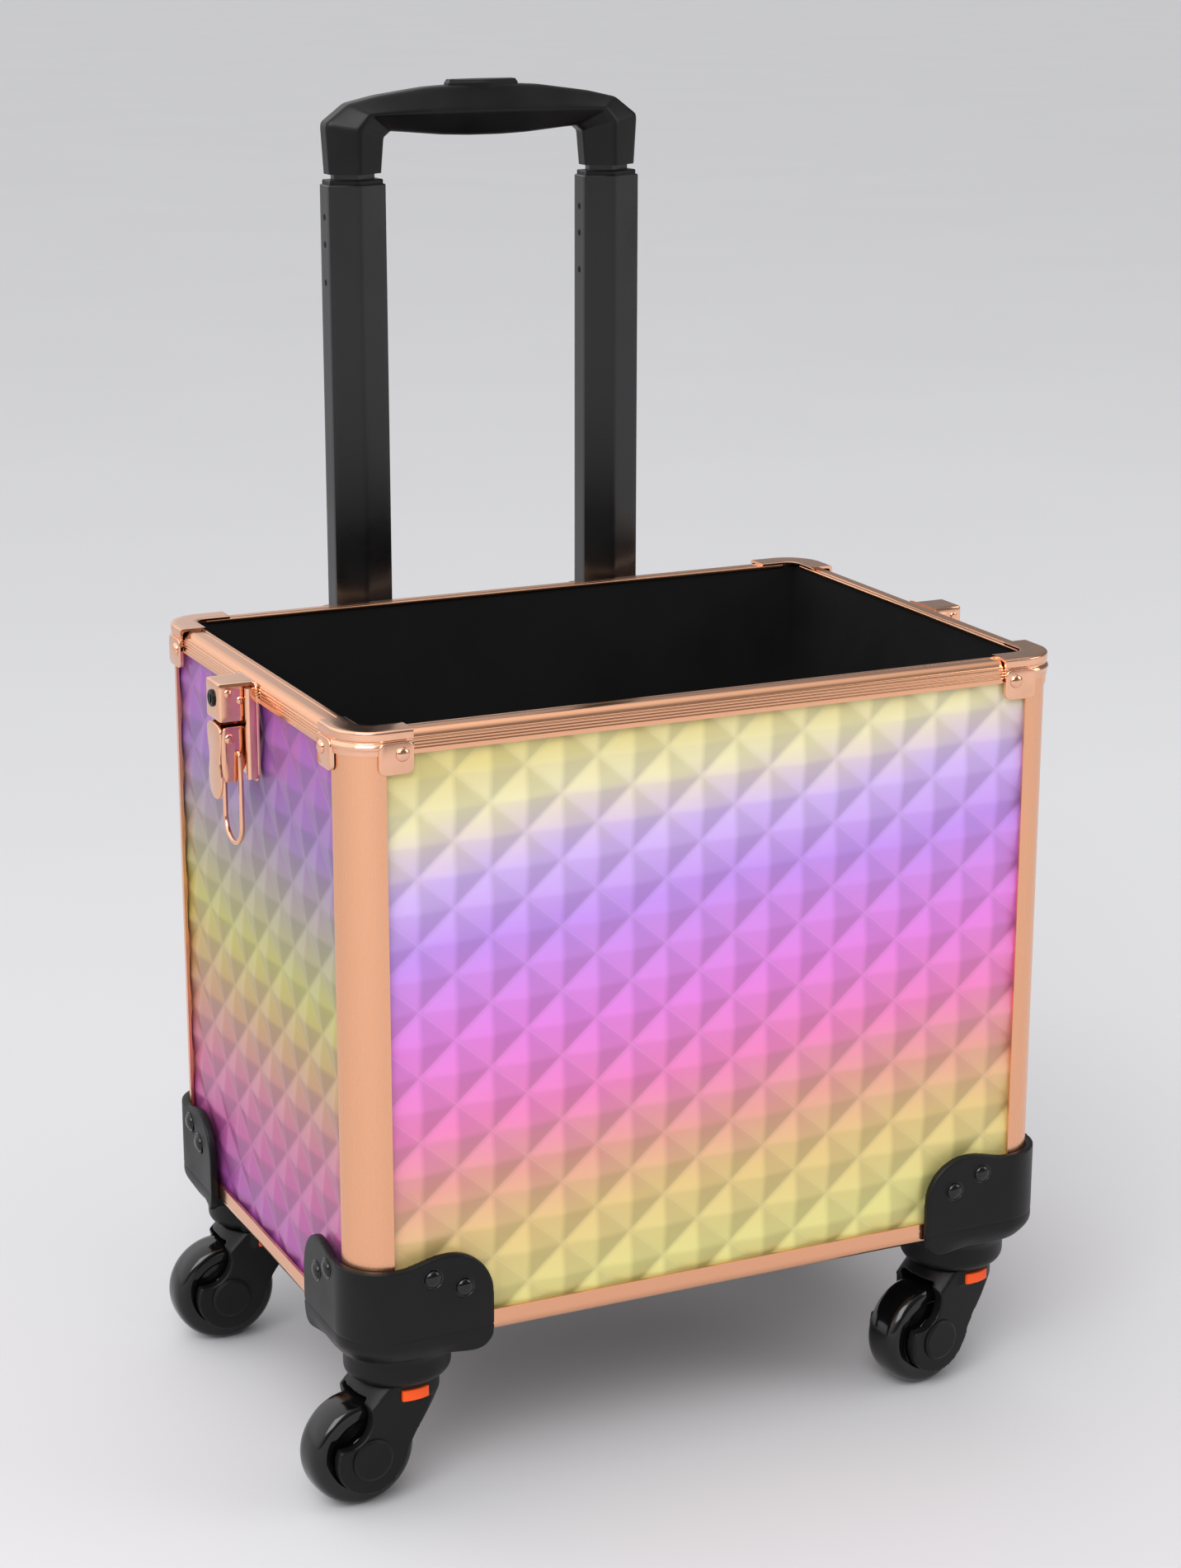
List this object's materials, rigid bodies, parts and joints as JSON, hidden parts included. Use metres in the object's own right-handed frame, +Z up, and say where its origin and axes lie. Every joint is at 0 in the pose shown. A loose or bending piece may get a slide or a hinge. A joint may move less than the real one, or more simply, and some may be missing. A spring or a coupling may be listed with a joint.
{
  "type": "makeup train case",
  "caption": "Open-topped rolling case section with an aluminium frame, embossed panels, a telescoping handle, side latches and swivel casters.",
  "frame": {"origin": "middle of the footprint box at the wheels' lowest level", "axes": "+X to the right along the front panel, +Y back towards the handle, +Z up"},
  "size_m": [0.3872, 0.284, 0.6185],
  "materials": {
    "anodised_rose_gold": "satin anodised",
    "polished_rose_gold": "polished",
    "holographic_panel_front": "embossed iridescent film on board",
    "holographic_panel_side": "embossed iridescent film on board",
    "lining": "matt",
    "board": "dark painted board",
    "satin_black_plastic": "satin",
    "black_steel": "satin",
    "gloss_black_wheel": "gloss",
    "release_orange": "satin",
    "key_core": "gloss"
  },
  "bodies": {
    "case": {"base_board": "board", "lining_tray": "lining", "front_panel": "holographic_panel_front", "back_panel": "holographic_panel_front", "left_panel": "holographic_panel_side", "right_panel": "holographic_panel_side", "front_top_rail": "anodised_rose_gold", "back_top_rail": "anodised_rose_gold", "left_top_rail": "anodised_rose_gold", "right_top_rail": "anodised_rose_gold", "front_bottom_rail": "anodised_rose_gold", "back_bottom_rail": "anodised_rose_gold", "left_bottom_rail": "anodised_rose_gold", "right_bottom_rail": "anodised_rose_gold", "front_left_column": "anodised_rose_gold", "front_right_column": "anodised_rose_gold", "back_left_column": "anodised_rose_gold", "back_right_column": "anodised_rose_gold", "front_left_cap": "polished_rose_gold", "front_right_cap": "polished_rose_gold", "back_left_cap": "polished_rose_gold", "back_right_cap": "polished_rose_gold", "cap_rivets": "polished_rose_gold", "front_left_bracket": "satin_black_plastic", "front_right_bracket": "satin_black_plastic", "back_left_bracket": "satin_black_plastic", "back_right_bracket": "satin_black_plastic", "bracket_rivets": "satin_black_plastic", "handle_sleeves": "black_steel", "sleeve_plates": "satin_black_plastic", "left_latch_base": "polished_rose_gold", "right_latch_base": "polished_rose_gold"},
    "handle_middle_stage": {"middle_tubes": "black_steel", "middle_collars": "satin_black_plastic"},
    "handle_inner_stage": {"inner_tubes": "black_steel", "grip_outer_shell": "satin_black_plastic", "grip_inner_shell": "satin_black_plastic"},
    "grip_button": {"grip_button": "satin_black_plastic"},
    "front_left_caster_fork": {"front_left_fork": "satin_black_plastic", "front_left_axle": "satin_black_plastic"},
    "front_left_caster_wheel": {"front_left_wheel": "gloss_black_wheel"},
    "front_left_caster_release": {"front_left_release": "release_orange"},
    "front_right_caster_fork": {"front_right_fork": "satin_black_plastic", "front_right_axle": "satin_black_plastic"},
    "front_right_caster_wheel": {"front_right_wheel": "gloss_black_wheel"},
    "front_right_caster_release": {"front_right_release": "release_orange"},
    "back_left_caster_fork": {"back_left_fork": "satin_black_plastic", "back_left_axle": "satin_black_plastic"},
    "back_left_caster_wheel": {"back_left_wheel": "gloss_black_wheel"},
    "back_left_caster_release": {"back_left_release": "release_orange"},
    "back_right_caster_fork": {"back_right_fork": "satin_black_plastic", "back_right_axle": "satin_black_plastic"},
    "back_right_caster_wheel": {"back_right_wheel": "gloss_black_wheel"},
    "back_right_caster_release": {"back_right_release": "release_orange"},
    "left_latch_lever": {"left_latch_lever": "polished_rose_gold"},
    "left_latch_bail": {"left_latch_bail": "polished_rose_gold"},
    "left_key_cylinder": {"left_key_cylinder": "key_core"},
    "right_latch_lever": {"right_latch_lever": "polished_rose_gold"},
    "right_latch_bail": {"right_latch_bail": "polished_rose_gold"},
    "right_key_cylinder": {"right_key_cylinder": "key_core"}
  },
  "joints": [
    {"name": "middle_stage_slide", "type": "slide", "parent": "case", "child": "handle_middle_stage", "axis": [0, 0, 1], "range_m": [-0.195, 0]},
    {"name": "inner_stage_slide", "type": "slide", "parent": "handle_middle_stage", "child": "handle_inner_stage", "axis": [0, 0, 1], "range_m": [0, 0.19]},
    {"name": "grip_button_press", "type": "slide", "parent": "handle_inner_stage", "child": "grip_button", "axis": [0, 0, -1], "range_m": [0, 0.003], "stiffness_N_per_m": 400},
    {"name": "front_left_caster_swivel", "type": "hinge", "parent": "case", "child": "front_left_caster_fork", "pos_m": [-0.1465, -0.10645, 0.0598], "axis": [0, 0, 1], "continuous": true},
    {"name": "front_left_wheel_spin", "type": "hinge", "parent": "front_left_caster_fork", "child": "front_left_caster_wheel", "pos_m": [-0.16739, -0.10865, 0.026], "axis": [0.1045, -0.9945, 0], "continuous": true},
    {"name": "front_left_release_press", "type": "slide", "parent": "front_left_caster_fork", "child": "front_left_caster_release", "axis": [-0.1045, 0.9945, 0], "range_m": [0, 0.002], "stiffness_N_per_m": 400},
    {"name": "front_right_caster_swivel", "type": "hinge", "parent": "case", "child": "front_right_caster_fork", "pos_m": [0.1465, -0.10645, 0.0598], "axis": [0, 0, 1], "continuous": true},
    {"name": "front_right_wheel_spin", "type": "hinge", "parent": "front_right_caster_fork", "child": "front_right_caster_wheel", "pos_m": [0.12596, -0.11082, 0.026], "axis": [0.2079, -0.9781, 0], "continuous": true},
    {"name": "front_right_release_press", "type": "slide", "parent": "front_right_caster_fork", "child": "front_right_caster_release", "axis": [-0.2079, 0.9781, 0], "range_m": [0, 0.002], "stiffness_N_per_m": 400},
    {"name": "back_left_caster_swivel", "type": "hinge", "parent": "case", "child": "back_left_caster_fork", "pos_m": [-0.1465, 0.08055, 0.0598], "axis": [0, 0, 1], "continuous": true},
    {"name": "back_left_wheel_spin", "type": "hinge", "parent": "back_left_caster_fork", "child": "back_left_caster_wheel", "pos_m": [-0.1675, 0.08055, 0.026], "axis": [0, -1, 0], "continuous": true},
    {"name": "back_left_release_press", "type": "slide", "parent": "back_left_caster_fork", "child": "back_left_caster_release", "axis": [0, 1, 0], "range_m": [0, 0.002], "stiffness_N_per_m": 400},
    {"name": "back_right_caster_swivel", "type": "hinge", "parent": "case", "child": "back_right_caster_fork", "pos_m": [0.1465, 0.08055, 0.0598], "axis": [0, 0, 1], "continuous": true},
    {"name": "back_right_wheel_spin", "type": "hinge", "parent": "back_right_caster_fork", "child": "back_right_caster_wheel", "pos_m": [0.12562, 0.07835, 0.026], "axis": [0.1045, -0.9945, 0], "continuous": true},
    {"name": "back_right_release_press", "type": "slide", "parent": "back_right_caster_fork", "child": "back_right_caster_release", "axis": [-0.1045, 0.9945, 0], "range_m": [0, 0.002], "stiffness_N_per_m": 400},
    {"name": "left_latch_lever_hinge", "type": "hinge", "parent": "case", "child": "left_latch_lever", "pos_m": [-0.1885, -0.01295, 0.339], "axis": [0, 1, 0], "range_deg": [0, 90]},
    {"name": "left_latch_bail_hinge", "type": "hinge", "parent": "left_latch_lever", "child": "left_latch_bail", "pos_m": [-0.1845, -0.01295, 0.332], "axis": [0, 1, 0], "range_deg": [-4, 110]},
    {"name": "left_key_turn", "type": "hinge", "parent": "case", "child": "left_key_cylinder", "pos_m": [-0.193, -0.01295, 0.3565], "axis": [-1, 0, 0], "range_deg": [0, 90]},
    {"name": "right_latch_lever_hinge", "type": "hinge", "parent": "case", "child": "right_latch_lever", "pos_m": [0.1885, -0.01295, 0.339], "axis": [0, -1, 0], "range_deg": [0, 90]},
    {"name": "right_latch_bail_hinge", "type": "hinge", "parent": "right_latch_lever", "child": "right_latch_bail", "pos_m": [0.1845, -0.01295, 0.332], "axis": [0, -1, 0], "range_deg": [-4, 110]},
    {"name": "right_key_turn", "type": "hinge", "parent": "case", "child": "right_key_cylinder", "pos_m": [0.193, -0.01295, 0.3565], "axis": [1, 0, 0], "range_deg": [0, 90]}
  ]
}
